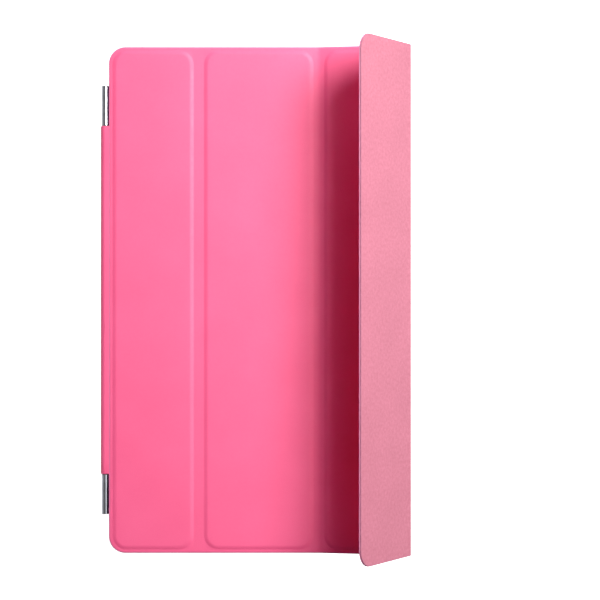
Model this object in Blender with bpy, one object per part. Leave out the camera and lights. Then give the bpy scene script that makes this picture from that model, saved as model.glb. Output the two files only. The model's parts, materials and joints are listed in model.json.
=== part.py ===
"""A folding front cover for a flat tablet computer.

The cover is a thin flap of four padded panels, hung on a magnetic hinge bar that clips to the
tablet's long left side. Here it is as it lies on a tablet: the first two panels flat on the screen,
the third lifted a little and the fourth folded back over it.

Frame: the origin is the centre of the bar's flat contact face. +X points from the hinge across the
screen, +Y runs along the hinge, +Z points out of the screen. Units are metres.
"""

import math

import bmesh
import bpy
from mathutils import Matrix, Vector

MM = 0.001

# the flap, measured as if it lay flat; x is counted from the tablet's side
HALF_LENGTH = 120.75 * MM
FLAP_LEFT = -0.6 * MM
SPINE_CREASE = 0.95 * MM
FIRST_FOLD = 42.4 * MM
SECOND_FOLD = 99.55 * MM
THIRD_FOLD = 141.3 * MM
FREE_EDGE = 183.8 * MM
FLAP_CORNER = 8.0 * MM
SQUARE_CORNER = 0.3 * MM

# heights of the layers over the screen
SCREEN = 6.0 * MM
LINING_TOP = 0.45 * MM
MARGIN_LOW = 0.65 * MM
MARGIN_TOP = 1.25 * MM
BOARD_TOP = 1.35 * MM
POCKET_TOP = 1.55 * MM
PAD_TOP = 2.2 * MM

# the padded part of each panel
VALLEY = 5.5 * MM
SKIN_PAST_PAD = 0.35 * MM
SPINE_GROOVE = 0.3 * MM
PAD_MARGIN = 2.0 * MM
PAD_CORNER = 6.5 * MM
PAD_SHOULDER = 0.15 * MM
PAD_SLOPE = 0.9 * MM
POCKET_INSET = 0.7 * MM
BOARD_INSET = 1.0 * MM
STRIP_GAP = 0.15 * MM

# the creases that the panels turn about, and how far each is folded here
FOLD_AXIS = 2.25 * MM
SPINE_AXIS = 1.35 * MM
BEND_HALF = 1.1 * MM
FIRST_ANGLE = 0.0
SECOND_ANGLE = 9.0
THIRD_ANGLE = 116.5

# the hinge
ROD_X = -2.4 * MM
ROD_Z = 4.95 * MM
ROD_RADIUS = 0.75 * MM
ROD_HALF = 98.0 * MM
CORE_INNER = 1.05 * MM
CORE_OUTER = 1.45 * MM
CORE_HALF = 82.8 * MM
SLEEVE_BORE = 1.75 * MM
SLEEVE_RADIUS = 2.3 * MM
SLEEVE_HALF = 83.1 * MM
LUG_INNER = 83.4 * MM
LUG_OUTER = 102.25 * MM
LUG_RADIUS = 1.9 * MM
LUG_BOTTOM = -3.2 * MM
LUG_INSIDE_FACE = -0.05 * MM
ROD_HOLE = 1.05 * MM
ROD_HOLE_END = 99.0 * MM
BAR_OUTSIDE = -3.8 * MM
BAR_INSIDE = -0.65 * MM
BAR_HALF_HEIGHT = 2.3 * MM
CHANNEL_BACK = -2.7 * MM
CHANNEL_HALF_HEIGHT = 1.75 * MM
INSERT_BACK = -2.4 * MM
INSERT_FRONT = -0.95 * MM
INSERT_HALF_HEIGHT = 1.45 * MM
TONGUE_START = 75.9 * MM
DOWEL_Y = 79.6 * MM
DOWEL_RADIUS = 0.6 * MM
DOWEL_HOLE = 0.9 * MM
DOWEL_BACK = -3.7 * MM
DOWEL_FRONT = -1.2 * MM
CONTACT_BACK = -0.35 * MM
CONTACT_HALF_HEIGHT = 2.15 * MM
COVER_OUTSIDE = -4.7 * MM
COVER_INSIDE = -4.1 * MM
COVER_TOP = 2.2 * MM
COVER_END = -1.6 * MM
COVER_THICKNESS = 0.6 * MM
EDGE_ROUND = 1.2 * MM

# the magnets and the plate they close on
HINGE_MAGNETS = 10
HINGE_MAGNET_PITCH = 15.0 * MM
HINGE_MAGNET_LENGTH = 14.0 * MM
EDGE_MAGNETS = 10
EDGE_MAGNET_PITCH = 21.5 * MM
EDGE_MAGNET_SIZE = (6.0 * MM, 12.0 * MM)
EDGE_MAGNET_X = 176.9 * MM
SLEEP_MAGNET_X = 163.5 * MM
SLEEP_MAGNET_Y = 70.0 * MM
SLEEP_MAGNET_SIZE = (5.0 * MM, 5.0 * MM)
STAND_PLATE_X = 32.0 * MM
STAND_PLATE_SIZE = (8.0 * MM, 205.0 * MM)
INSERT_CLEARANCE = 0.3 * MM

CORNER_STEPS = 6
ROUND_SEGMENTS = 32
BEND_STEPS = 8
CUT_PAST = 1.0 * MM


def linear(channel):
    """One sRGB channel, 0 to 255, as the linear value a shader takes."""
    share = channel / 255
    if share <= 0.04045:
        return share / 12.92
    return ((share + 0.055) / 1.055) ** 2.4


def make_material(name, colour, roughness, metallic=0.0):
    material = bpy.data.materials.new(name)
    material.use_nodes = True
    shader = material.node_tree.nodes["Principled BSDF"]
    red, green, blue = (linear(channel) for channel in colour)
    shader.inputs["Base Color"].default_value = (red, green, blue, 1.0)
    shader.inputs["Roughness"].default_value = roughness
    shader.inputs["Metallic"].default_value = metallic
    material.diffuse_color = (red, green, blue, 1.0)
    return material


def make_materials():
    return {
        "cover_skin": make_material("cover_skin", (255, 118, 160), 0.5),
        "lining": make_material("lining", (240, 147, 168), 0.9),
        "aluminium": make_material("aluminium", (205, 208, 214), 0.25, 1.0),
        "steel": make_material("steel", (150, 152, 156), 0.35, 1.0),
        "magnet": make_material("magnet", (176, 176, 178), 0.3, 1.0),
        "board": make_material("board", (226, 222, 204), 0.6),
        "nylon": make_material("nylon", (236, 234, 228), 0.5),
    }


def add_object(name, mesh_builder, material, parent=None):
    """Turn a bmesh into a named object, with its faces pointing out."""
    bmesh.ops.recalc_face_normals(mesh_builder, faces=mesh_builder.faces)
    mesh = bpy.data.meshes.new(name)
    mesh_builder.to_mesh(mesh)
    mesh_builder.free()
    if material:
        mesh.materials.append(material)
    made = bpy.data.objects.new(name, mesh)
    bpy.context.scene.collection.objects.link(made)
    made.parent = parent
    return made


def add_axis(name, location, turn=0.0, parent=None):
    """An empty on a crease or a rod. Its turn, in degrees, lifts what hangs on it off the screen."""
    axis = bpy.data.objects.new(name, None)
    bpy.context.scene.collection.objects.link(axis)
    axis.parent = parent
    axis.location = location
    axis.rotation_euler = (0.0, -math.radians(turn), 0.0)
    return axis


def loft(loops):
    """A closed body through outlines of equal length, each given as ([(x, y), ...], z)."""
    body = bmesh.new()
    rings = [[body.verts.new((x, y, z)) for x, y in points] for points, z in loops]
    for low, high in zip(rings, rings[1:]):
        for index in range(len(low)):
            after = (index + 1) % len(low)
            body.faces.new((low[index], low[after], high[after], high[index]))
    body.faces.new(rings[0])
    body.faces.new(rings[-1])
    return body


def along_hinge(section, start, end):
    """A closed body with an (x, z) section, running in Y from start to end."""
    body = bmesh.new()
    near = [body.verts.new((x, start, z)) for x, z in section]
    far = [body.verts.new((x, end, z)) for x, z in section]
    for index in range(len(section)):
        after = (index + 1) % len(section)
        body.faces.new((near[index], near[after], far[after], far[index]))
    body.faces.new(near)
    body.faces.new(far)
    return body


def box(low, high):
    section = [(low[0], low[2]), (high[0], low[2]), (high[0], high[2]), (low[0], high[2])]
    return along_hinge(section, low[1], high[1])


def rod_along(direction, centre, radius, length):
    """A cylinder centred on a point, with its axis along a direction."""
    body = bmesh.new()
    turn = Vector((0, 0, 1)).rotation_difference(Vector(direction)).to_matrix().to_4x4()
    bmesh.ops.create_cone(
        body,
        cap_ends=True,
        segments=ROUND_SEGMENTS,
        radius1=radius,
        radius2=radius,
        depth=length,
        matrix=Matrix.Translation(centre) @ turn,
    )
    return body


def combine(target, cutter, operation):
    """Join or cut one object with another, which is then only a guide."""
    cutter.hide_render = True
    cutter.display_type = "WIRE"
    change = target.modifiers.new(cutter.name, "BOOLEAN")
    change.operation = operation
    change.object = cutter
    change.solver = "EXACT"


def shade_round(made):
    made.data.shade_smooth()
    made.data.set_sharp_from_angle(angle=math.radians(40))


def arc(centre, radius, start, end, steps=CORNER_STEPS):
    """Points of a circular arc, with its angles in degrees."""
    angles = [math.radians(start + (end - start) * step / steps) for step in range(steps + 1)]
    return [(centre[0] + radius * math.cos(a), centre[1] + radius * math.sin(a)) for a in angles]


def outline(x0, x1, half, left_radius, right_radius, left_edge=None):
    """A rectangle with rounded corners, |y| up to half.

    left_edge is where the left corners' arcs begin, if x0 cuts them off further in.
    """
    edge = x0 if left_edge is None else left_edge
    middle = edge + left_radius
    cut = math.degrees(math.acos(max(-1.0, (x0 - middle) / left_radius)))
    corner_y = half - left_radius
    right_y = half - right_radius
    return (
        arc((x1 - right_radius, right_y), right_radius, 0, 90)
        + arc((middle, corner_y), left_radius, 90, cut)
        + arc((middle, -corner_y), left_radius, 360 - cut, 270)
        + arc((x1 - right_radius, -right_y), right_radius, 270, 360)
    )


def spine_outline(x0, x1):
    """The flap's hinge edge between x0 and x1, within its rounded corners."""
    middle = FLAP_LEFT + FLAP_CORNER
    inner = math.degrees(math.acos((x1 - middle) / FLAP_CORNER))
    outer = math.degrees(math.acos(max(-1.0, (x0 - middle) / FLAP_CORNER)))
    corner_y = HALF_LENGTH - FLAP_CORNER
    return arc((middle, corner_y), FLAP_CORNER, inner, outer) + arc(
        (middle, -corner_y), FLAP_CORNER, 360 - outer, 360 - inner
    )


def shifted(points, distance):
    return [(x + distance, y) for x, y in points]


class Panel:
    """One stiff panel of the flap, between two creases."""

    def __init__(self, letter, start, end, axis, left_corner, right_corner):
        self.letter = letter
        self.axis = axis
        self.axis_x = start
        self.axis_height = SPINE_AXIS if letter == "a" else FOLD_AXIS
        half_valley = VALLEY / 2
        self.pad_left = start + (SPINE_GROOVE if letter == "a" else half_valley)
        self.pad_right = end - (PAD_MARGIN if letter == "d" else half_valley)
        self.left = start + STRIP_GAP if letter == "a" else self.pad_left - SKIN_PAST_PAD
        self.right = end if letter == "d" else self.pad_right + SKIN_PAST_PAD
        self.left_corner = left_corner
        self.right_corner = right_corner

    def height(self, over_screen):
        return over_screen - self.axis_height

    def edge(self):
        """The panel's outer outline, counted from its crease."""
        left_edge = FLAP_LEFT if self.letter == "a" else None
        points = outline(
            self.left, self.right, HALF_LENGTH, self.left_corner, self.right_corner, left_edge
        )
        return shifted(points, -self.axis_x)

    def pad(self, inset):
        points = outline(
            self.pad_left + inset,
            self.pad_right - inset,
            HALF_LENGTH - PAD_MARGIN - inset,
            PAD_CORNER - inset,
            PAD_CORNER - inset,
        )
        return shifted(points, -self.axis_x)

    def outer_skin(self, material):
        """The skin: a thin margin round a raised pad, hollow underneath for the board."""
        shoulder = (MARGIN_TOP + PAD_TOP) / 2
        loops = [
            (self.pad(POCKET_INSET), POCKET_TOP),
            (self.pad(POCKET_INSET), MARGIN_LOW),
            (self.edge(), MARGIN_LOW),
            (self.edge(), MARGIN_TOP),
            (self.pad(0.0), MARGIN_TOP),
            (self.pad(PAD_SHOULDER), shoulder),
            (self.pad(PAD_SLOPE), PAD_TOP),
        ]
        loops = [(points, self.height(z)) for points, z in loops]
        add_object(f"outer_skin_{self.letter}", loft(loops), material, self.axis)

    def lining(self, material):
        loops = [(self.edge(), self.height(0.0)), (self.edge(), self.height(LINING_TOP))]
        add_object(f"lining_{self.letter}", loft(loops), material, self.axis)

    def stiffener(self, material, inserts):
        """The board in the pad, with a window for each magnet or plate: (x, y, size x, size y)."""
        low = self.height(MARGIN_LOW)
        high = self.height(BOARD_TOP)
        loops = [(self.pad(BOARD_INSET), low), (self.pad(BOARD_INSET), high)]
        board = add_object(f"stiffener_{self.letter}", loft(loops), material, self.axis)
        for number, (x, y, size_x, size_y) in enumerate(inserts, 1):
            window = self.block(x, y, size_x, size_y, INSERT_CLEARANCE, CUT_PAST)
            name = f"window_{self.letter}_{number}"
            combine(board, add_object(name, window, None, self.axis), "DIFFERENCE")

    def block(self, x, y, size_x, size_y, wider=0.0, taller=0.0):
        """A flat block centred on a point of the panel, as thick as the board."""
        centre = x - self.axis_x
        low = (
            centre - size_x / 2 - wider,
            y - size_y / 2 - wider,
            self.height(MARGIN_LOW) - taller,
        )
        high = (
            centre + size_x / 2 + wider,
            y + size_y / 2 + wider,
            self.height(BOARD_TOP) + taller,
        )
        return box(low, high)


def fold_section(angle, low, high):
    """The (x, z) section of a strip that bends round a crease, between two layer heights.

    It leaves the first panel flat, turns through the angle and ends flat on the second panel. x and
    z are counted from the crease's axis, on the first panel's side.
    """
    reach = VALLEY / 2 - SKIN_PAST_PAD - STRIP_GAP
    depths = (FOLD_AXIS - low, FOLD_AXIS - high)
    if not angle:
        return [
            (-reach, -depths[0]),
            (reach, -depths[0]),
            (reach, -depths[1]),
            (-reach, -depths[1]),
        ]
    turn = math.radians(angle)
    rise = BEND_HALF / math.tan(turn / 2)
    lines = []
    for depth in depths:
        radius = rise + depth
        line = [(-reach, -depth)]
        line += arc((-BEND_HALF, rise), radius, -90, angle - 90, BEND_STEPS)
        end_x = reach * math.cos(turn) + depth * math.sin(turn)
        end_z = reach * math.sin(turn) - depth * math.cos(turn)
        lines.append(line + [(end_x, end_z)])
    return lines[0] + lines[1][::-1]


def make_fold(number, angle, place, parent, materials):
    """The strips of skin and lining in the valley between two panels."""
    for layer, low, high, slot in (
        ("skin", MARGIN_LOW, MARGIN_TOP, "cover_skin"),
        ("lining", 0.0, LINING_TOP, "lining"),
    ):
        section = fold_section(angle, low, high)
        body = along_hinge(section, -HALF_LENGTH, HALF_LENGTH)
        strip = add_object(f"{layer}_fold_{number}", body, materials[slot], parent)
        strip.location = place
        shade_round(strip)


def make_flap(materials, spine_axis):
    """The four panels, each hung on the crease before it, and the strips between them."""
    axis_a = add_axis(
        "spine_fold_axis",
        (SPINE_CREASE - ROD_X, 0, SCREEN + SPINE_AXIS - ROD_Z),
        parent=spine_axis,
    )
    rise = FOLD_AXIS - SPINE_AXIS
    to_first = (FIRST_FOLD - SPINE_CREASE, 0, rise)
    axis_b = add_axis("first_fold_axis", to_first, FIRST_ANGLE, axis_a)
    to_second = (SECOND_FOLD - FIRST_FOLD, 0, 0)
    axis_c = add_axis("second_fold_axis", to_second, SECOND_ANGLE, axis_b)
    to_third = (THIRD_FOLD - SECOND_FOLD, 0, 0)
    axis_d = add_axis("third_fold_axis", to_third, THIRD_ANGLE, axis_c)

    panels = [
        Panel("a", SPINE_CREASE, FIRST_FOLD, axis_a, FLAP_CORNER, SQUARE_CORNER),
        Panel("b", FIRST_FOLD, SECOND_FOLD, axis_b, SQUARE_CORNER, SQUARE_CORNER),
        Panel("c", SECOND_FOLD, THIRD_FOLD, axis_c, SQUARE_CORNER, SQUARE_CORNER),
        Panel("d", THIRD_FOLD, FREE_EDGE, axis_d, SQUARE_CORNER, FLAP_CORNER),
    ]
    edge_row = [
        (EDGE_MAGNET_X, (number - (EDGE_MAGNETS - 1) / 2) * EDGE_MAGNET_PITCH, *EDGE_MAGNET_SIZE)
        for number in range(EDGE_MAGNETS)
    ]
    sleep = (SLEEP_MAGNET_X, SLEEP_MAGNET_Y, *SLEEP_MAGNET_SIZE)
    plate = (STAND_PLATE_X, 0.0, *STAND_PLATE_SIZE)
    inserts = {"a": [plate], "b": [], "c": [], "d": [*edge_row, sleep]}
    for panel in panels:
        panel.outer_skin(materials["cover_skin"])
        panel.lining(materials["lining"])
        panel.stiffener(materials["board"], inserts[panel.letter])

    first, last = panels[0], panels[-1]
    add_object("stand_plate", first.block(*plate), materials["steel"], first.axis)
    for number, place in enumerate(edge_row, 1):
        name = f"edge_magnet_{number}"
        add_object(name, last.block(*place), materials["magnet"], last.axis)
    add_object("sleep_magnet", last.block(*sleep), materials["magnet"], last.axis)

    make_fold(1, FIRST_ANGLE, to_first, axis_a, materials)
    make_fold(2, SECOND_ANGLE, to_second, axis_b, materials)
    make_fold(3, THIRD_ANGLE, to_third, axis_c, materials)


def make_spine(materials, rod_axis):
    """The flap's hinge edge: a sleeve that turns on the rod, and the margin that it carries."""
    end = SPINE_CREASE - STRIP_GAP

    def from_rod(over_screen):
        return SCREEN + over_screen - ROD_Z

    margin = shifted(spine_outline(FLAP_LEFT, end), -ROD_X)
    sleeve = add_object(
        "hinge_sleeve",
        loft([(margin, from_rod(MARGIN_LOW)), (margin, from_rod(MARGIN_TOP))]),
        materials["cover_skin"],
        rod_axis,
    )
    overlap = 0.05 * MM
    tail_low = from_rod(MARGIN_LOW) + overlap
    leaves = math.degrees(math.asin(tail_low / SLEEVE_RADIUS))
    tail_end = FLAP_LEFT + EDGE_ROUND - ROD_X
    section = arc((0, 0), SLEEVE_RADIUS - overlap, 90, 360 + leaves, ROUND_SEGMENTS)
    section += [(tail_end, tail_low), (tail_end, SLEEVE_RADIUS - overlap)]
    barrel = add_object("barrel", along_hinge(section, -SLEEVE_HALF, SLEEVE_HALF), None, rod_axis)
    combine(sleeve, barrel, "UNION")
    bore_length = 2 * (SLEEVE_HALF + CUT_PAST)
    bore = add_object(
        "sleeve_bore", rod_along((0, 1, 0), (0, 0, 0), SLEEVE_BORE, bore_length), None, rod_axis
    )
    combine(sleeve, bore, "DIFFERENCE")
    shade_round(sleeve)

    lining = shifted(spine_outline(STRIP_GAP, end), -ROD_X)
    loops = [(lining, from_rod(0.0)), (lining, from_rod(LINING_TOP))]
    add_object("lining_spine", loft(loops), materials["lining"], rod_axis)

    tube = add_object(
        "sleeve_core",
        rod_along((0, 1, 0), (0, 0, 0), CORE_OUTER, 2 * CORE_HALF),
        materials["nylon"],
        rod_axis,
    )
    hole_length = 2 * (CORE_HALF + CUT_PAST)
    hole = add_object(
        "core_hole", rod_along((0, 1, 0), (0, 0, 0), CORE_INNER, hole_length), None, rod_axis
    )
    combine(tube, hole, "DIFFERENCE")
    shade_round(tube)


def make_bar(materials):
    """The channel that holds the magnets, open towards the tablet, and what is fixed to it."""
    inside = BAR_INSIDE - SQUARE_CORNER
    inside_height = BAR_HALF_HEIGHT - SQUARE_CORNER
    outside = BAR_OUTSIDE + EDGE_ROUND
    outside_height = BAR_HALF_HEIGHT - EDGE_ROUND
    section = arc((inside, inside_height), SQUARE_CORNER, 0, 90)
    section += arc((outside, outside_height), EDGE_ROUND, 90, 180)
    section += arc((outside, -outside_height), EDGE_ROUND, 180, 270)
    section += arc((inside, -inside_height), SQUARE_CORNER, 270, 360)
    body = along_hinge(section, -SLEEVE_HALF, SLEEVE_HALF)
    bar = add_object("hinge_bar", body, materials["aluminium"])
    low = (CHANNEL_BACK, -SLEEVE_HALF - CUT_PAST, -CHANNEL_HALF_HEIGHT)
    high = (BAR_INSIDE + CUT_PAST, SLEEVE_HALF + CUT_PAST, CHANNEL_HALF_HEIGHT)
    combine(bar, add_object("channel", box(low, high), None), "DIFFERENCE")

    low = (CONTACT_BACK, -SLEEVE_HALF, -CONTACT_HALF_HEIGHT)
    high = (0.0, SLEEVE_HALF, CONTACT_HALF_HEIGHT)
    add_object("contact_strip", box(low, high), materials["steel"])

    inner_round = EDGE_ROUND
    outer_round = EDGE_ROUND + COVER_THICKNESS
    bottom = LUG_BOTTOM + outer_round
    corner = COVER_OUTSIDE + outer_round
    section = arc((corner, bottom), outer_round, 180, 270)
    section += [(COVER_END, LUG_BOTTOM), (COVER_END, LUG_BOTTOM + COVER_THICKNESS)]
    section += arc((corner, bottom), inner_round, 270, 180)
    section += [(COVER_INSIDE, COVER_TOP), (COVER_OUTSIDE, COVER_TOP)]
    body = along_hinge(section, -SLEEVE_HALF, SLEEVE_HALF)
    cover = add_object("spine_cover", body, materials["cover_skin"])
    shade_round(cover)

    for number in range(HINGE_MAGNETS):
        middle = (number - (HINGE_MAGNETS - 1) / 2) * HINGE_MAGNET_PITCH
        low = (INSERT_BACK, middle - HINGE_MAGNET_LENGTH / 2, -INSERT_HALF_HEIGHT)
        high = (INSERT_FRONT, middle + HINGE_MAGNET_LENGTH / 2, INSERT_HALF_HEIGHT)
        add_object(f"hinge_magnet_{number + 1}", box(low, high), materials["magnet"])
    return bar


def make_lug(end, side, bar, materials):
    """One polished end of the hinge: it carries the rod, and its tongue is pinned into the bar."""
    section = arc((ROD_X, ROD_Z), LUG_RADIUS, 0, 180, ROUND_SEGMENTS // 2)
    left = ROD_X - LUG_RADIUS
    section += arc((left + EDGE_ROUND, LUG_BOTTOM + EDGE_ROUND), EDGE_ROUND, 180, 270)
    right = LUG_INSIDE_FACE - SQUARE_CORNER
    section += arc((right, LUG_BOTTOM + SQUARE_CORNER), SQUARE_CORNER, 270, 360)
    section += [(LUG_INSIDE_FACE, ROD_Z - LUG_RADIUS)]
    near, far = sorted((side * LUG_INNER, side * LUG_OUTER))
    lug = add_object(f"{end}_lug", along_hinge(section, near, far), materials["aluminium"])

    near, far = sorted((side * TONGUE_START, side * (LUG_INNER + CUT_PAST)))
    low = (INSERT_BACK, near, -INSERT_HALF_HEIGHT)
    high = (INSERT_FRONT, far, INSERT_HALF_HEIGHT)
    combine(lug, add_object(f"{end}_tongue", box(low, high), None), "UNION")

    hole_start = LUG_INNER - CUT_PAST
    centre = (ROD_X, side * (hole_start + ROD_HOLE_END) / 2, ROD_Z)
    socket = rod_along((0, 1, 0), centre, ROD_HOLE, ROD_HOLE_END - hole_start)
    combine(lug, add_object(f"{end}_rod_socket", socket, None), "DIFFERENCE")

    middle = (DOWEL_BACK + DOWEL_FRONT) / 2
    centre = (middle, side * DOWEL_Y, 0.0)
    length = DOWEL_FRONT - DOWEL_BACK
    dowel = rod_along((1, 0, 0), centre, DOWEL_RADIUS, length)
    pin = add_object(f"{end}_dowel", dowel, materials["steel"])
    shade_round(pin)
    drill = rod_along((1, 0, 0), centre, DOWEL_HOLE, length + 2 * CUT_PAST)
    drilled = add_object(f"{end}_dowel_hole", drill, None)
    combine(lug, drilled, "DIFFERENCE")
    combine(bar, drilled, "DIFFERENCE")
    shade_round(lug)


def make_rod(materials):
    rod = add_object(
        "connecting_rod",
        rod_along((0, 1, 0), (ROD_X, 0, ROD_Z), ROD_RADIUS, 2 * ROD_HALF),
        materials["steel"],
    )
    shade_round(rod)


def main():
    for thing in list(bpy.data.objects):
        bpy.data.objects.remove(thing, do_unlink=True)
    materials = make_materials()
    bar = make_bar(materials)
    make_lug("upper", 1, bar, materials)
    make_lug("lower", -1, bar, materials)
    make_rod(materials)
    rod_axis = add_axis("cover_turn_axis", (ROD_X, 0, ROD_Z))
    make_spine(materials, rod_axis)
    make_flap(materials, rod_axis)


main()
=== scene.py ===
"""The look of a folding tablet cover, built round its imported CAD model.

The skin, the lining and the creases of the flap are modelled here. The hinge's metal parts and what
is sealed inside the flap are the CAD's own shapes with finer materials.

The flap is drawn flat first and then folded. Its points are (s, y, h): s across the flattened
cover from the tablet's side, y along the hinge, h the height over the lining's underside. Units are
metres.
"""

import json
import math

import bmesh
import bpy
from mathutils import Matrix, Vector


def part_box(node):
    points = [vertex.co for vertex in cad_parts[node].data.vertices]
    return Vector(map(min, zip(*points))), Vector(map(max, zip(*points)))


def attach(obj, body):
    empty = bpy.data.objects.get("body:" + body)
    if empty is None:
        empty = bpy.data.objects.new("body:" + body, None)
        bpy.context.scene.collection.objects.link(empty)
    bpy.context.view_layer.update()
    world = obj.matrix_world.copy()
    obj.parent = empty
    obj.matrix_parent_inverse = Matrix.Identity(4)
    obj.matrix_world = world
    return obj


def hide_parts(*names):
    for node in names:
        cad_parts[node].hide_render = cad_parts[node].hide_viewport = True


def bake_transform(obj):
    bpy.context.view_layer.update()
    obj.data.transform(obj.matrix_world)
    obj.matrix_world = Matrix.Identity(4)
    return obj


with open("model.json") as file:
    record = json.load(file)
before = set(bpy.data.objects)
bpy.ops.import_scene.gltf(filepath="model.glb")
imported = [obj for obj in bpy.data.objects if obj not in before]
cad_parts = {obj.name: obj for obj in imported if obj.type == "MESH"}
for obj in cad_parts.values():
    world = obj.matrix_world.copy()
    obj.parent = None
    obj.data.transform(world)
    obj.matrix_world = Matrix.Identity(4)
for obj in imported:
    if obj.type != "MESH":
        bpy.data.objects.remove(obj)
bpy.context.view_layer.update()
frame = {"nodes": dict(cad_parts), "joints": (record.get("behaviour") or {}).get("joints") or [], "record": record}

MM = 0.001
JOINTS = {joint["name"]: joint for joint in frame["joints"]}


def axis_of(joint):
    """A point on a joint's axis."""
    return Vector(JOINTS[joint]["pos_m"])


# heights in the flap
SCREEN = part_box("lining_a")[0].z
LINING_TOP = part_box("lining_a")[1].z - SCREEN + 0.05 * MM
SKIN_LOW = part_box("skin_fold_1")[0].z - SCREEN - 0.1 * MM
MARGIN_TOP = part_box("skin_fold_1")[1].z - SCREEN + 0.09 * MM
PAD_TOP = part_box("outer_skin_a")[1].z - SCREEN - 0.33 * MM

# the creases: where each one lies in the flattened cover, and how far it is folded here
SPINE_CREASE = axis_of("spine_fold").x
FIRST_CREASE = axis_of("first_fold").x
SECOND_CREASE = axis_of("second_fold").x
THIRD_CREASE = SECOND_CREASE + (axis_of("third_fold") - axis_of("second_fold")).length
SPINE_HEIGHT = axis_of("spine_fold").z - SCREEN
FOLD_HEIGHT = axis_of("first_fold").z - SCREEN
SECOND_TURN = math.radians(-JOINTS["second_fold"]["range_deg"][0])
THIRD_TURN = math.radians(JOINTS["third_fold"]["range_deg"][1])
SPINE_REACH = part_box("outer_skin_a")[0].x - SPINE_CREASE
FOLD_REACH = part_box("skin_fold_1")[1].x - FIRST_CREASE

# the flap's outline
HALF_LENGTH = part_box("outer_skin_a")[1].y
FLAP_LEFT = -0.6 * MM
FREE_EDGE = 183.8 * MM
FLAP_CORNER = 8.0 * MM

# the padded part of each panel, and the edge of each layer
PAD_MARGIN = 2.0 * MM
PAD_GAP = 0.5 * MM
SPINE_PAD_GAP = 0.4 * MM
PAD_CORNER = 6.5 * MM
SHARPEST_CORNER = 0.3 * MM
PAD_LEAD = 0.42 * MM
PAD_SHOULDER = 1.9 * MM
PAD_EASE = 0.75
CROWN = 0.06 * MM
POCKET_INSET = 0.7 * MM
POCKET_TOP = 1.55 * MM
SKIN_ARRIS = 0.3 * MM
LINING_ARRIS = 0.16 * MM
BACK_ARRIS = 0.08 * MM
EDGE_DROOP = 0.25 * MM
DROOP_WIDTH = 1.3 * MM
LINING_INSET = 0.12 * MM

# the skin rolled round the hinge rod, and its tail under the flap
BARREL_ROUND = 0.3 * MM
BORE_CLEARANCE = 0.02 * MM
TAIL_END = 0.6 * MM
TAIL_DROP = 0.03 * MM
TAIL_THICKNESS = 0.5 * MM
BARREL_FLAT_START = FREE_EDGE / 3

# the hinge's two ends get a painted shade past this x and z, where the photo shows a dark gap beside the flap
FLANK_X = -1.45 * MM
FLANK_Z = 4.6 * MM
FLANK_BLEND = 0.15 * MM
# the painted shade's colour, a dark purple that stands in for the shade in the gap beside the flap
FLANK_SHADE_TINT = (0.07, 0.03, 0.055)

# how finely the shapes are cut
CORNER_STEPS = 8
LONG_STEPS = 16
SHORT_STEPS = 4
BEND_STEPS = 20
ARRIS_STEPS = 5
DROOP_STEPS = 4
PAD_RISE_STEPS = 10
PAD_FACE_STEPS = 6
PAD_FACE_SPREAD = 1.5
BARREL_STEPS = 56
BARREL_LENGTH_STEPS = 24
BARREL_END_STEPS = 4
SHARP_ANGLE = math.radians(60)

# the rounding of the CAD's machined edges, by material slot
SOFTENED = {"aluminium": 0.16 * MM, "steel": 0.06 * MM, "cover_skin": 0.14 * MM}
WELD_WITHIN = 0.001 * MM
BEVEL_SEGMENTS = 3
BEVEL_ANGLE = math.radians(40)

# the camera, straight over the screen, and the floor
CAMERA_HEIGHT = 725 * MM
VIEW_CENTRE = 90.64 * MM
VIEW_WIDTH = 286.7 * MM
SENSOR_WIDTH = 36.0
FLOOR_DROP = 280 * MM
FLOOR_REACH = 12.0
FLOOR_GLOW = 0.9

# the lights: name, place, what it is aimed at, size in metres, power in watts
VIEW_TARGET = (VIEW_CENTRE, 0, 0)
SOFTBOXES = (
    ("key_softbox", (VIEW_CENTRE + 0.372, 0.341, 0.62), VIEW_TARGET, 0.45, 9.4),
    ("fill_softbox", (VIEW_CENTRE, 0.75, 0.3), VIEW_TARGET, 0.5, 1.4),
    ("side_softbox", (-0.65, 0, 0.4), VIEW_TARGET, 0.6, 0.32),
    ("top_softbox", (0.36, 0, 0.72), (0, 0, 0), 0.46, 0.9),
)
AMBIENT = 0.06

# points of the view's tone curve, (linear, shown), which deepen the shadows as the photo's are
DEEPER_SHADOWS = ((0.02, 0.008), (0.045, 0.034), (0.12, 0.117))
COMBINED_CURVE = 3


def folded(crease, height, turn):
    """The move that folds up, about a crease of the flat cover, what lies past it."""
    pivot = Vector((crease, 0, SCREEN + height))
    return Matrix.Translation(pivot) @ Matrix.Rotation(-turn, 4, "Y") @ Matrix.Translation(-pivot)


FLAT = Matrix.Translation((0, 0, SCREEN))
PLACE_C = folded(SECOND_CREASE, FOLD_HEIGHT, SECOND_TURN) @ FLAT
PLACE_D = (
    folded(SECOND_CREASE, FOLD_HEIGHT, SECOND_TURN)
    @ folded(THIRD_CREASE, FOLD_HEIGHT, THIRD_TURN)
    @ FLAT
)
PLACES = {"spine": FLAT, "panel_a": FLAT, "panel_b": FLAT, "panel_c": PLACE_C, "panel_d": PLACE_D}


# ---------------------------------------------------------------- meshes


def smoothstep(share):
    """An S-shaped rise from 0 to 1."""
    share = min(1.0, max(0.0, share))
    return share * share * (3 - 2 * share)


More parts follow.
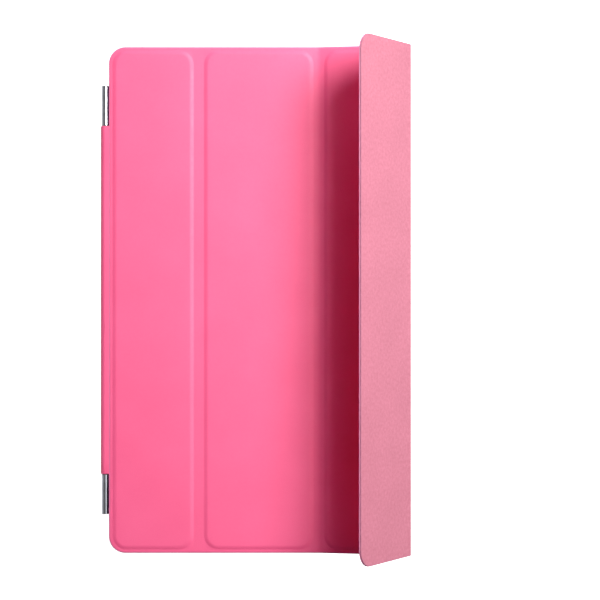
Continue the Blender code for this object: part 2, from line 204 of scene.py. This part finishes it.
def loft(loops, uv_loops=None, joined=False):
    """A solid through loops of equal length, with its flat places as its UVs.

    Its two ends are capped, or else its last loop is joined to its first.
    """
    body = bmesh.new()
    uv_layer = body.loops.layers.uv.new("cover")
    flat_places = {}
    rings = []
    for points, places in zip(loops, uv_loops or loops):
        ring = [body.verts.new(point) for point in points]
        flat_places.update(zip(ring, ((place[0], place[1]) for place in places)))
        rings.append(ring)
    for low, high in zip(rings, rings[1:] + rings[:1] if joined else rings[1:]):
        for index in range(len(low)):
            after = (index + 1) % len(low)
            body.faces.new((low[index], low[after], high[after], high[index]))
    if not joined:
        body.faces.new(rings[0])
        body.faces.new(rings[-1])
    bmesh.ops.recalc_face_normals(body, faces=body.faces)
    for face in body.faces:
        face.smooth = True
        for corner in face.loops:
            corner[uv_layer].uv = flat_places[corner.vert]
    return body


def add_piece(name, body, material, stands_for):
    """A new piece of the object, which takes the place of some CAD nodes."""
    mesh = bpy.data.meshes.new(name)
    body.to_mesh(mesh)
    body.free()
    mesh.materials.append(material)
    mesh.set_sharp_from_angle(angle=SHARP_ANGLE)
    piece = bpy.data.objects.new(name, mesh)
    bpy.context.scene.collection.objects.link(piece)
    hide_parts(*stands_for)
    return piece


def arc(centre, radius, start, end, steps=CORNER_STEPS):
    """Points of a circular arc, with its angles in degrees."""
    angles = [math.radians(start + (end - start) * step / steps) for step in range(steps + 1)]
    return [(centre[0] + radius * math.cos(a), centre[1] + radius * math.sin(a)) for a in angles]


def skin_edge():
    """(inset, height) points over the skin's edge: a rounded arris, then a drooping margin."""
    points = [(BACK_ARRIS, SKIN_LOW), (0.0, SKIN_LOW + BACK_ARRIS)]

    def upper(inset):
        return MARGIN_TOP - EDGE_DROOP * (1 - inset / DROOP_WIDTH) ** 2

    centre = (SKIN_ARRIS, upper(SKIN_ARRIS) - SKIN_ARRIS)
    points += arc(centre, SKIN_ARRIS, 180, 90, ARRIS_STEPS)
    for step in range(1, DROOP_STEPS + 1):
        inset = SKIN_ARRIS + (DROOP_WIDTH - SKIN_ARRIS) * step / DROOP_STEPS
        points.append((inset, upper(inset)))
    return points


def lining_edge():
    """(inset, height) points over the lining's edge, from its face on the screen to its back."""
    centre = (LINING_ARRIS, LINING_ARRIS)
    points = arc(centre, LINING_ARRIS, 270, 180, ARRIS_STEPS)
    points += [(0.0, LINING_TOP - BACK_ARRIS), (BACK_ARRIS, LINING_TOP)]
    return [(inset + LINING_INSET, height) for inset, height in points]


def half_at(s, inset):
    """Half the flap's length at s, along a line that runs inset from its edge."""
    radius = FLAP_CORNER - inset
    past = max(FLAP_LEFT + FLAP_CORNER - s, s - (FREE_EDGE - FLAP_CORNER), 0.0)
    return HALF_LENGTH - FLAP_CORNER + math.sqrt(max(radius * radius - past * past, 0.0))


# ---------------------------------------------------------------- creases


class Crease:
    """A soft strip between two panels.

    A layer's point is told by its share of the way across and its depth under the crease's axis.
    The bend at a point is the smooth step of how far it has come from the start towards the end.
    """

    def __init__(self, position, height, reach, turn, body_before, body_after):
        self.position = position
        self.height = height
        self.reach = reach
        self.turn = turn
        self.before = body_before
        self.after = body_after

    def place(self, turned, x, depth):
        """A point of the strip in the CAD's frame, x from the crease, carried round by turned."""
        move = PLACES[self.before] @ FLAT.inverted() @ folded(self.position, self.height, turned)
        return move @ Vector((self.position + x, 0, SCREEN + self.height - depth))

    def ends(self, inner_depth):
        """Where the strip meets its two panels, on its inner side."""
        start = self.place(0.0, -self.reach, inner_depth)
        return start, self.place(self.turn, self.reach, inner_depth)

    def across(self, share, depth, inner_depth):
        """Where the layer at a depth lies at a share of the way across, and its flat s."""
        half = self.turn / 2
        chord = 2 * (self.reach * math.cos(half) + inner_depth * math.sin(half))
        first = 0.5 - (self.reach * math.cos(half) + depth * math.sin(half)) / chord
        along = first + (1 - 2 * first) * share
        bend = smoothstep(along)
        tilt = self.turn * (bend - 0.5)
        x = (chord * (along - 0.5) - depth * math.sin(tilt)) / math.cos(tilt)
        flat_s = self.position + self.reach * (2 * share - 1)
        return self.place(self.turn * bend, x, depth), flat_s

    def strip(self, edge):
        """A layer of the strip, from (inset, height) points over its edges, and its two ends."""
        inner_depth = self.height - max(height for _, height in edge)
        loops = []
        flat_loops = []
        for step in range(BEND_STEPS + 1):
            share = step / BEND_STEPS
            loop = []
            flat_loop = []
            for side, points in ((1, edge), (-1, edge[::-1])):
                for inset, height in points:
                    point, flat_s = self.across(share, self.height - height, inner_depth)
                    y = side * half_at(flat_s, inset)
                    loop.append((point.x, y, point.z))
                    flat_loop.append((flat_s, y))
            loops.append(loop)
            flat_loops.append(flat_loop)
        return loft(loops, flat_loops), self.ends(inner_depth)

    def add(self, name, edge, material, slot, stands_for):
        """A layer of the strip as a piece, in the bend it has here."""
        body, (start, end) = self.strip(edge)
        piece = add_piece(name, body, material, stands_for)
        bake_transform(piece)
        return piece


# ---------------------------------------------------------------- panels


def closed_ring(corners):
    """One ring from four corners, each a list of points, with straight sides cut into steps."""
    points = []
    for number, corner in enumerate(corners):
        after = corners[(number + 1) % 4]
        steps = LONG_STEPS if number % 2 else SHORT_STEPS
        here, there = Vector(corner[-1]), Vector(after[0])
        points += corner
        points += [tuple(here.lerp(there, step / steps)) for step in range(1, steps)]
    return points


class Panel:
    """One stiff panel of the flap. Its corners go round from the far right one, (+s, +y)."""

    QUARTERS = (0, 90, 180, 270)

    def __init__(self, letter, start, end, pad_gap):
        self.letter = letter
        self.body = f"panel_{letter}"
        self.start = start
        self.end = end
        self.pad_start = start + pad_gap
        self.pad_end = end - (PAD_MARGIN if end == FREE_EDGE else PAD_GAP)

    def pad(self, inset):
        """The pad's outline, a rounded rectangle, at an inset from its foot."""
        radius = max(PAD_CORNER - inset, SHARPEST_CORNER)
        right = self.pad_end - inset - radius
        left = self.pad_start + inset + radius
        top = HALF_LENGTH - PAD_MARGIN - inset - radius
        centres = ((right, top), (left, top), (left, -top), (right, -top))
        quarters = zip(centres, self.QUARTERS)
        return closed_ring([arc(centre, radius, start, start + 90) for centre, start in quarters])

    def edge(self, inset):
        """The panel's outline: the flap's edge at an inset, and a straight cut at each crease."""
        corners = []
        for start in self.QUARTERS:
            at_end = start in (0, 270)
            side = 1 if start < 180 else -1
            if at_end and self.end == FREE_EDGE:
                middle = (self.end - FLAP_CORNER, side * (HALF_LENGTH - FLAP_CORNER))
                corners.append(arc(middle, FLAP_CORNER - inset, start, start + 90))
            elif not at_end and self.start < FLAP_LEFT + FLAP_CORNER:
                middle = (FLAP_LEFT + FLAP_CORNER, side * (HALF_LENGTH - FLAP_CORNER))
                radius = FLAP_CORNER - inset
                cut = math.degrees(math.acos((self.start - middle[0]) / radius))
                angles = (90, cut) if side > 0 else (360 - cut, 270)
                corners.append(arc(middle, radius, *angles))
            else:
                corners.append(self.square_corner(start, inset))
        return closed_ring(corners)

    def square_corner(self, start, inset):
        """A right-angled corner at a crease, with as many points as the pad's rounded one."""
        outer_s = self.end if start in (0, 270) else self.start
        pad_s = self.pad_end - PAD_CORNER if start in (0, 270) else self.pad_start + PAD_CORNER
        pad_y = HALF_LENGTH - PAD_MARGIN - PAD_CORNER
        side = 1 if start < 180 else -1
        wide = abs(outer_s - pad_s)
        tall = HALF_LENGTH - inset - pad_y
        points = []
        for cos, sin in arc((0, 0), 1.0, start, start + 90):
            longest = max(abs(cos), abs(sin))
            points.append((pad_s + wide * cos / longest, side * pad_y + tall * sin / longest))
        return points

    def solid(self, loops):
        """A layer of the panel, in its place, through loops of flat (s, y) points at a height."""
        place = PLACES[self.body]
        placed = [
            [tuple(place @ Vector((s, y, height))) for s, y in points] for points, height in loops
        ]
        return loft(placed, [points for points, _ in loops])

    def pad_insets(self):
        """Insets over the pad's shoulder, then over its crowned face to near the middle."""
        rise = PAD_LEAD + PAD_SHOULDER
        insets = [rise * step / PAD_RISE_STEPS - PAD_LEAD for step in range(PAD_RISE_STEPS + 1)]
        face = (self.pad_end - self.pad_start) / 2 - 2 * PAD_SHOULDER
        return insets + [
            PAD_SHOULDER + face * (step / PAD_FACE_STEPS) ** PAD_FACE_SPREAD
            for step in range(1, PAD_FACE_STEPS + 1)
        ]

    def pad_height(self, inset):
        """An S-shaped rise from the margin, then a very low crown."""
        share = max(0.0, (inset + PAD_LEAD) / (PAD_LEAD + PAD_SHOULDER)) ** PAD_EASE
        middle = (self.pad_end - self.pad_start) / 2
        inward = max(0.0, inset - PAD_SHOULDER) / (middle - PAD_SHOULDER)
        shoulder = MARGIN_TOP + (PAD_TOP - CROWN - MARGIN_TOP) * smoothstep(share)
        return shoulder + CROWN * inward * (2 - inward)

    def add_skin(self, material):
        """The skin: edge, margin, pad, and a pocket underneath that holds the board."""
        loops = [(self.pad(POCKET_INSET), POCKET_TOP), (self.pad(POCKET_INSET), SKIN_LOW)]
        loops += [(self.edge(inset), height) for inset, height in skin_edge()]
        loops += [(self.pad(inset), self.pad_height(inset)) for inset in self.pad_insets()]
        piece = add_piece(
            f"padded_skin_{self.letter}",
            self.solid(loops),
            material,
            [f"outer_skin_{self.letter}"],
        )
        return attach(piece, self.body)

    def add_lining(self, material):
        """The microfibre under the panel, out to the same edge less a small inset."""
        loops = [(self.edge(inset), height) for inset, height in lining_edge()]
        piece = add_piece(
            f"microfibre_{self.letter}",
            self.solid(loops),
            material,
            [f"lining_{self.letter}"],
        )
        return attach(piece, self.body)


# ---------------------------------------------------------------- the hinge edge


def spine_outline(end, inset):
    """The flap's hinge edge as far as end, at an inset, within its rounded corners."""
    radius = FLAP_CORNER - inset
    middle = FLAP_LEFT + FLAP_CORNER
    top = HALF_LENGTH - FLAP_CORNER
    cut = math.degrees(math.acos((end - middle) / radius))
    upper = arc((middle, top), radius, cut, 180)
    sides = [(middle - radius, top - 2 * top * step / LONG_STEPS) for step in range(1, LONG_STEPS)]
    return upper + sides + arc((middle, -top), radius, 180, 360 - cut)


def add_spine_margin(skin):
    """The strip of skin between the flap's hinge edge and the crease beside it."""
    end = SPINE_CREASE - SPINE_REACH
    loops = [(spine_outline(end, inset), height) for inset, height in skin_edge()]
    placed = [[(s, y, SCREEN + height) for s, y in points] for points, height in loops]
    piece = add_piece("spine_skin", loft(placed), skin, ["hinge_sleeve"])
    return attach(piece, "spine")


def add_spine_lining(microfibre):
    """The microfibre under that strip, no longer than its CAD solid."""
    end = SPINE_CREASE - SPINE_REACH
    low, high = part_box("lining_spine")
    loops = []
    for inset, height in lining_edge():
        start = low.x + inset
        at_end = min(high.y, half_at(end, inset))
        at_start = min(high.y, half_at(start, inset))
        corners = [(end, at_end), (start, at_start), (start, -at_start), (end, -at_end)]
        loops.append([(s, y, SCREEN + height) for s, y in corners])
    piece = add_piece("spine_microfibre", loft(loops), microfibre, ["lining_spine"])
    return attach(piece, "spine")


def barrel_loop(y, shrink, centre, radius, bore):
    """A section of the sleeve: the skin round the rod, its tail under the flap, and its bore."""
    low_tail = radius - TAIL_DROP - TAIL_THICKNESS
    leaves = math.degrees(math.asin(low_tail / radius))
    outer = arc(centre, radius - shrink, 90, 360 + leaves, BARREL_STEPS)
    outer.append((TAIL_END, centre[1] + low_tail + shrink))
    outer.append((TAIL_END, centre[1] + radius - TAIL_DROP - shrink))
    inner = arc(centre, bore, 90, 450, len(outer))[:-1]
    return [(x, y, z) for x, z in outer], [(x, y, z) for x, z in inner]


def barrel_stations(half):
    """(y, shrink) of each section along the barrel, which shrinks where its ends are rounded."""
    straight = half - BARREL_ROUND
    rounded = []
    for step in range(BARREL_END_STEPS + 1):
        angle = math.pi / 2 * step / BARREL_END_STEPS
        rounded.append(
            (half - BARREL_ROUND * (1 - math.cos(angle)), BARREL_ROUND * (1 - math.sin(angle)))
        )
    even = [
        (straight - 2 * straight * step / BARREL_LENGTH_STEPS, 0.0)
        for step in range(1, BARREL_LENGTH_STEPS)
    ]
    return rounded + even + [(-y, shrink) for y, shrink in reversed(rounded)]


def add_barrel(skin):
    """The skin rolled round the hinge rod."""
    rod = axis_of("cover_turn")
    radius = rod.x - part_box("hinge_sleeve")[0].x
    core_low, core_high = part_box("sleeve_core")
    bore = (core_high.z - core_low.z) / 2 + BORE_CLEARANCE
    outers, inners, flats = [], [], []
    for y, shrink in barrel_stations(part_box("spine_cover")[1].y):
        outer, inner = barrel_loop(y, shrink, (rod.x, rod.z), radius, bore)
        flat = [(BARREL_FLAT_START, y)]
        for here, after in zip(outer, outer[1:]):
            flat.append((flat[-1][0] + (Vector(after) - Vector(here)).length, y))
        outers.append(outer)
        inners.append(inner)
        flats.append(flat)
    body = loft(outers + inners[::-1], flats + flats[::-1], joined=True)
    piece = add_piece("hinge_barrel_skin", body, skin, ["hinge_sleeve"])
    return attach(piece, "spine")


# ---------------------------------------------------------------- materials


def srgb(red, green, blue):
    """A colour given as 0 to 255 per channel, in the linear values that a shader takes."""

    def linear(channel):
        share = channel / 255
        return share / 12.92 if share <= 0.04045 else ((share + 0.055) / 1.055) ** 2.4

    return (linear(red), linear(green), linear(blue), 1.0)


def grey(value):
    return (value, value, value, 1.0)


class Finish:
    """A node material on one Principled shader. Lengths in it are metres on the surface."""

    def __init__(self, name, source="Object", **constants):
        self.material = bpy.data.materials.new(name)
        self.material.use_nodes = True
        self.nodes = self.material.node_tree.nodes
        self.links = self.material.node_tree.links
        self.shader = self.nodes["Principled BSDF"]
        self.place = self.nodes.new("ShaderNodeTexCoord").outputs[source]
        for socket, value in constants.items():
            self.shader.inputs[socket.replace("_", " ")].default_value = value
        self.normal = None

    def texture(self, kind, size, stretch=(1, 1, 1)):
        """A texture with features of a given size, longer along an axis where stretch is over 1."""
        mapping = self.nodes.new("ShaderNodeMapping")
        mapping.inputs["Scale"].default_value = [1 / (size * share) for share in stretch]
        self.links.new(self.place, mapping.inputs["Vector"])
        texture = self.nodes.new(kind)
        texture.inputs["Scale"].default_value = 1.0
        self.links.new(mapping.outputs["Vector"], texture.inputs["Vector"])
        return texture

    def noise(self, size, detail=2.0, roughness=0.5, stretch=(1, 1, 1)):
        """Clouds with features of a given size."""
        texture = self.texture("ShaderNodeTexNoise", size, stretch)
        texture.inputs["Detail"].default_value = detail
        texture.inputs["Roughness"].default_value = roughness
        return texture.outputs["Fac"]

    def cells(self, size, smoothness=0.4):
        """A pebbled pattern of rounded cells."""
        texture = self.texture("ShaderNodeTexVoronoi", size)
        texture.feature = "SMOOTH_F1"
        texture.inputs["Smoothness"].default_value = smoothness
        return texture.outputs["Distance"]

    def ramp(self, value, low, high, start=0.3, end=0.7):
        """A value taken to a colour or a number between two others."""
        node = self.nodes.new("ShaderNodeMapRange")
        if isinstance(low, tuple):
            node.data_type = "FLOAT_VECTOR"
            spread = {"From_Min_FLOAT3": (start,) * 3, "From_Max_FLOAT3": (end,) * 3}
            spread.update(To_Min_FLOAT3=low[:3], To_Max_FLOAT3=high[:3])
            sockets = {socket.identifier: socket for socket in node.inputs}
            for key, vector in spread.items():
                sockets[key].default_value = vector
            self.links.new(value, sockets["Vector"])
            return node.outputs["Vector"]
        spread = {"From Min": start, "From Max": end, "To Min": low, "To Max": high}
        for key, number in spread.items():
            node.inputs[key].default_value = number
        self.links.new(value, node.inputs["Value"])
        return node.outputs["Result"]

    def vector_math(self, operation, *values):
        """A node over colours or places, each a socket or a constant of three numbers."""
        node = self.nodes.new("ShaderNodeVectorMath")
        node.operation = operation
        for socket, value in zip(node.inputs, values):
            if isinstance(value, tuple):
                socket.default_value = value
            else:
                self.links.new(value, socket)
        return node.outputs["Value" if operation == "LENGTH" else "Vector"]

    def multiplied(self, first, second):
        return self.vector_math("MULTIPLY", first, second)

    def rim(self, tint, begins, ends):
        """White, turning to a tint between two distances from the flap's outline.

        A flat place is measured from the box through the centres of the flap's corners. The outline
        lies at the corners' radius from that box.
        """
        middle = ((FLAP_LEFT + FREE_EDGE) / 2, 0.0, 0.0)
        half_box = ((FREE_EDGE - FLAP_LEFT) / 2 - FLAP_CORNER, HALF_LENGTH - FLAP_CORNER, 1.0)
        out = self.vector_math("ABSOLUTE", self.vector_math("SUBTRACT", self.place, middle))
        past = self.vector_math(
            "MAXIMUM", self.vector_math("SUBTRACT", out, half_box), (0.0, 0.0, 0.0)
        )
        distance = self.vector_math("LENGTH", past)
        return self.ramp(distance, grey(1.0), tint, FLAP_CORNER - begins, FLAP_CORNER - ends)

    def bump(self, height, depth, strength=1.0):
        """Relief of a given depth, on top of any before it."""
        node = self.nodes.new("ShaderNodeBump")
        node.inputs["Distance"].default_value = depth
        node.inputs["Strength"].default_value = strength
        self.links.new(height, node.inputs["Height"])
        if self.normal:
            self.links.new(self.normal, node.inputs["Normal"])
        self.normal = node.outputs["Normal"]
        self.links.new(self.normal, self.shader.inputs["Normal"])

    def drive(self, socket, output):
        self.links.new(output, self.shader.inputs[socket])


def skin_finish(name, on_flap):
    """Moulded polyurethane: a fine pebbled grain, a satin surface, faint clouds in its colour.

    On the flap it follows the flat places, with a paler rim: partly the skin's paler cut edge, partly a painted
    reflection of the pale surroundings on the rounded edge. A CAD part has no flat map.
    """
    finish = Finish(name, "UV" if on_flap else "Object", Specular_IOR_Level=0.9)
    clouds = finish.ramp(
        finish.noise(28 * MM, detail=3.0), srgb(246, 89, 137), srgb(250, 94, 142)
    )
    specks = finish.ramp(finish.noise(0.5 * MM, detail=3.0, roughness=0.6), grey(0.965), grey(1.0))
    colour = finish.multiplied(clouds, specks)
    if on_flap:
        # the paler rim: partly the skin's paler cut edge, partly a painted reflection of the pale surroundings on
        # its rounded edge
        rim = finish.rim(tint=(0.72, 2.0, 1.45), begins=0.8 * MM, ends=0.2 * MM)
        colour = finish.multiplied(colour, rim)
        finish.bump(finish.noise(45 * MM, detail=2.0), depth=0.05 * MM, strength=0.6)
    finish.drive("Base Color", colour)
    gloss = finish.noise(1.6 * MM, detail=4.0, roughness=0.6)
    finish.drive("Roughness", finish.ramp(gloss, 0.54, 0.66))
    finish.bump(finish.cells(0.42 * MM), depth=0.016 * MM, strength=0.5)
    if on_flap:
        grain = finish.noise(0.14 * MM, detail=3.0, roughness=0.6)
        finish.bump(grain, depth=0.006 * MM, strength=0.5)
    return finish.material


def microfibre_finish():
    """Napped microfibre: mottled where the nap lies differently, with a soft bloom when grazed."""
    finish = Finish(
        "microfibre_lining",
        "UV",
        Sheen_Weight=0.35,
        Sheen_Roughness=0.4,
        Sheen_Tint=srgb(255, 214, 224),
        Specular_IOR_Level=0.15,
        Roughness=0.95,
    )
    mottle = finish.ramp(
        finish.noise(1.5 * MM, detail=5.0, roughness=0.68), srgb(184, 107, 125), srgb(198, 122, 140)
    )
    nap = finish.ramp(
        finish.noise(0.5 * MM, detail=3.0, roughness=0.6, stretch=(1, 4, 1)), grey(0.93), grey(1.03)
    )
    patches = finish.ramp(finish.noise(17 * MM, detail=2.0), grey(0.97), grey(1.02))
    # painted shade: a slightly darker, greyer band along the lining's outline, where its edge wall lies in shade
    rim = finish.rim(tint=(0.88, 0.98, 1.0), begins=0.9 * MM, ends=0.3 * MM)
    cloth = finish.multiplied(finish.multiplied(mottle, nap), patches)
    finish.drive("Base Color", finish.multiplied(cloth, rim))
    tufts = finish.noise(0.9 * MM, detail=4.0, roughness=0.65)
    finish.bump(tufts, depth=0.05 * MM, strength=0.5)
    fibres = finish.noise(0.12 * MM, detail=3.0, roughness=0.7, stretch=(1, 3, 1))
    finish.bump(fibres, depth=0.02 * MM, strength=0.6)
    return finish.material


def metal_finish(name, dark, light, roughness, grain, painted_shade_flank=False):
    """Metal brushed along the hinge, with a grain of a given width and a range of roughness."""
    finish = Finish(name, "Object", Metallic=1.0)
    brushed = finish.noise(grain, detail=4.0, roughness=0.65, stretch=(1, 60, 1))
    colour = finish.ramp(finish.noise(6 * MM, detail=3.0), dark, light)
    # painted shade: darkens the upper part of a lug's flank that faces the flap, as the gap beside it would be in
    # shade
    if painted_shade_flank:
        split = finish.nodes.new("ShaderNodeSeparateXYZ")
        finish.links.new(finish.place, split.inputs[0])
        x, z = split.outputs["X"], split.outputs["Z"]
        flank = finish.ramp(x, grey(1.0), FLANK_SHADE_TINT, FLANK_X - FLANK_BLEND, FLANK_X)
        below = finish.ramp(z, grey(1.0), grey(0.0), FLANK_Z - FLANK_BLEND, FLANK_Z)
        colour = finish.multiplied(colour, finish.vector_math("MAXIMUM", flank, below))
    finish.drive("Base Color", colour)
    finish.drive("Roughness", finish.ramp(brushed, *roughness))
    finish.bump(brushed, depth=0.004 * MM, strength=0.4)
    return finish.material


def board_finish():
    """Glass-fibre board: a pale resin with a crossed weave."""
    finish = Finish("fibre_board", "Object")
    warp = finish.ramp(
        finish.noise(0.4 * MM, stretch=(1, 12, 1)), srgb(214, 208, 182), srgb(236, 232, 214)
    )
    weft = finish.ramp(finish.noise(0.4 * MM, stretch=(12, 1, 1)), grey(0.9), grey(1.0))
    finish.drive("Base Color", finish.multiplied(warp, weft))
    finish.drive("Roughness", finish.ramp(finish.noise(2 * MM), 0.45, 0.65))
    finish.bump(finish.noise(0.4 * MM), depth=0.02 * MM, strength=0.4)
    return finish.material


def nylon_finish():
    """Natural nylon tube: off-white and faintly clouded."""
    finish = Finish("nylon_tube", "Object")
    clouds = finish.noise(3 * MM, detail=3.0)
    finish.drive("Base Color", finish.ramp(clouds, srgb(226, 222, 212), srgb(240, 238, 231)))
    finish.drive("Roughness", finish.ramp(finish.noise(0.6 * MM, detail=3.0), 0.35, 0.5))
    finish.bump(finish.noise(0.3 * MM), depth=0.006 * MM, strength=0.4)
    return finish.material


def dress_cad_nodes():
    """Gives each CAD node that still shows its material, and softens its machined edges."""
    polish = {
        "dark": srgb(196, 199, 208),
        "light": srgb(214, 217, 226),
        "roughness": (0.26, 0.36),
        "grain": 0.06 * MM,
    }
    steel = (srgb(150, 152, 157), srgb(178, 180, 184), (0.25, 0.42), 0.05 * MM)
    nickel = (srgb(184, 182, 176), srgb(204, 202, 197), (0.18, 0.3), 0.2 * MM)
    finishes = {
        "aluminium": metal_finish("polished_aluminium", **polish),
        "steel": metal_finish("brushed_steel", *steel),
        "magnet": metal_finish("nickel_plate", *nickel),
        "board": board_finish(),
        "nylon": nylon_finish(),
        "cover_skin": skin_finish("polyurethane_trim", on_flap=False),
    }
    # the lugs' metal, with a painted shade on their flanks beside the flap
    lug_metal_painted_shade = metal_finish("polished_lug_painted_shade", **polish, painted_shade_flank=True)
    slots = {part["node"]: part["material_slot"] for part in frame["record"]["subparts"]}
    for name, node in frame["nodes"].items():
        if node.hide_render:
            continue
        slot = slots[name]
        node.data.materials.clear()
        node.data.materials.append(lug_metal_painted_shade if name.endswith("_lug") else finishes[slot])
        if slot in SOFTENED:
            soften(node, SOFTENED[slot])


def soften(node, width):
    """Rounds a CAD node's sharp edges with modifiers, which leave its own mesh as it is."""
    weld = node.modifiers.new("weld", "WELD")
    weld.merge_threshold = WELD_WITHIN
    bevel = node.modifiers.new("rounded_edges", "BEVEL")
    bevel.width = width
    bevel.segments = BEVEL_SEGMENTS
    bevel.limit_method = "ANGLE"
    bevel.angle_limit = BEVEL_ANGLE


# ---------------------------------------------------------------- the scene round it


def aim(thing, target):
    """Turns a light to face a place."""
    direction = Vector(target) - thing.location
    thing.rotation_euler = direction.to_track_quat("-Z", "Y").to_euler()


def add_camera():
    """Straight down on the screen, as far off as a hand-held camera."""
    camera = bpy.data.objects.new("camera", bpy.data.cameras.new("camera"))
    bpy.context.scene.collection.objects.link(camera)
    camera.location = (VIEW_CENTRE, 0, SCREEN + CAMERA_HEIGHT)
    camera.data.sensor_width = SENSOR_WIDTH
    camera.data.lens = SENSOR_WIDTH * CAMERA_HEIGHT / VIEW_WIDTH
    camera.data.clip_start = 10 * MM
    bpy.context.scene.camera = camera


def add_softbox(name, location, target, size, power):
    """A round soft light, which the camera doesn't see."""
    light = bpy.data.lights.new(name, "AREA")
    light.shape = "DISK"
    light.size = size
    light.energy = power
    lamp = bpy.data.objects.new(name, light)
    bpy.context.scene.collection.objects.link(lamp)
    lamp.location = location
    aim(lamp, target)
    lamp.visible_camera = False


def add_floor():
    """A wide pale floor, well under the tablet that the cover would lie on."""
    body = bmesh.new()
    bmesh.ops.create_grid(body, x_segments=1, y_segments=1, size=FLOOR_REACH)
    mesh = bpy.data.meshes.new("floor")
    body.to_mesh(mesh)
    body.free()
    floor = bpy.data.objects.new("floor", mesh)
    floor.location = (0, 0, -FLOOR_DROP)
    bpy.context.scene.collection.objects.link(floor)
    finish = Finish("floor_paint", "Object", Roughness=0.9, Specular_IOR_Level=0.1)
    clouds = finish.noise(400 * MM)
    finish.drive("Base Color", finish.ramp(clouds, srgb(247, 247, 247), srgb(250, 250, 250)))
    finish.shader.inputs["Emission Color"].default_value = (1, 1, 1, 1)
    finish.shader.inputs["Emission Strength"].default_value = FLOOR_GLOW
    mesh.materials.append(finish.material)


def light_scene():
    """The softboxes, a faint even light from all round, and the view's tone curve."""
    scene = bpy.context.scene
    for name, place, target, size, power in SOFTBOXES:
        add_softbox(name, place, target, size, power)
    world = bpy.data.worlds.new("studio")
    world.use_nodes = True
    background = world.node_tree.nodes["Background"]
    background.inputs["Color"].default_value = (1, 1, 1, 1)
    background.inputs["Strength"].default_value = AMBIENT
    scene.world = world
    scene.view_settings.view_transform = "Standard"
    scene.view_settings.use_curve_mapping = True
    curve = scene.view_settings.curve_mapping.curves[COMBINED_CURVE]
    for linear, shown in DEEPER_SHADOWS:
        curve.points.new(linear, shown)
    scene.view_settings.curve_mapping.update()


def build():
    """Makes the soft pieces, from the hinge to the free edge, and dresses the CAD nodes."""
    skin = skin_finish("polyurethane_skin", on_flap=True)
    microfibre = microfibre_finish()
    spine = Crease(SPINE_CREASE, SPINE_HEIGHT, SPINE_REACH, 0.0, "spine", "panel_a")
    folds = [
        Crease(FIRST_CREASE, FOLD_HEIGHT, FOLD_REACH, 0.0, "panel_a", "panel_b"),
        Crease(SECOND_CREASE, FOLD_HEIGHT, FOLD_REACH, SECOND_TURN, "panel_b", "panel_c"),
        Crease(THIRD_CREASE, FOLD_HEIGHT, FOLD_REACH, THIRD_TURN, "panel_c", "panel_d"),
    ]

    add_barrel(skin)
    add_spine_margin(skin)
    spine.add("spine_crease_skin", skin_edge(), skin, "cover_skin", [])
    spine_linings = [
        add_spine_lining(microfibre),
        spine.add("spine_crease_microfibre", lining_edge(), microfibre, "lining", []),
    ]
    for number, fold in enumerate(folds, 1):
        fold.add(f"skin_valley_{number}", skin_edge(), skin, "cover_skin", [f"skin_fold_{number}"])
        name, stands_for = f"microfibre_valley_{number}", [f"lining_fold_{number}"]
        fold.add(name, lining_edge(), microfibre, "lining", stands_for)

    starts = [crease.position + crease.reach for crease in [spine] + folds]
    ends = [fold.position - fold.reach for fold in folds] + [FREE_EDGE]
    for number, (letter, start, end) in enumerate(zip("abcd", starts, ends)):
        panel = Panel(letter, start, end, PAD_GAP if number else SPINE_PAD_GAP)
        panel_skin = panel.add_skin(skin)
        lining = panel.add_lining(microfibre)
    dress_cad_nodes()


build()
add_camera()
add_floor()
light_scene()
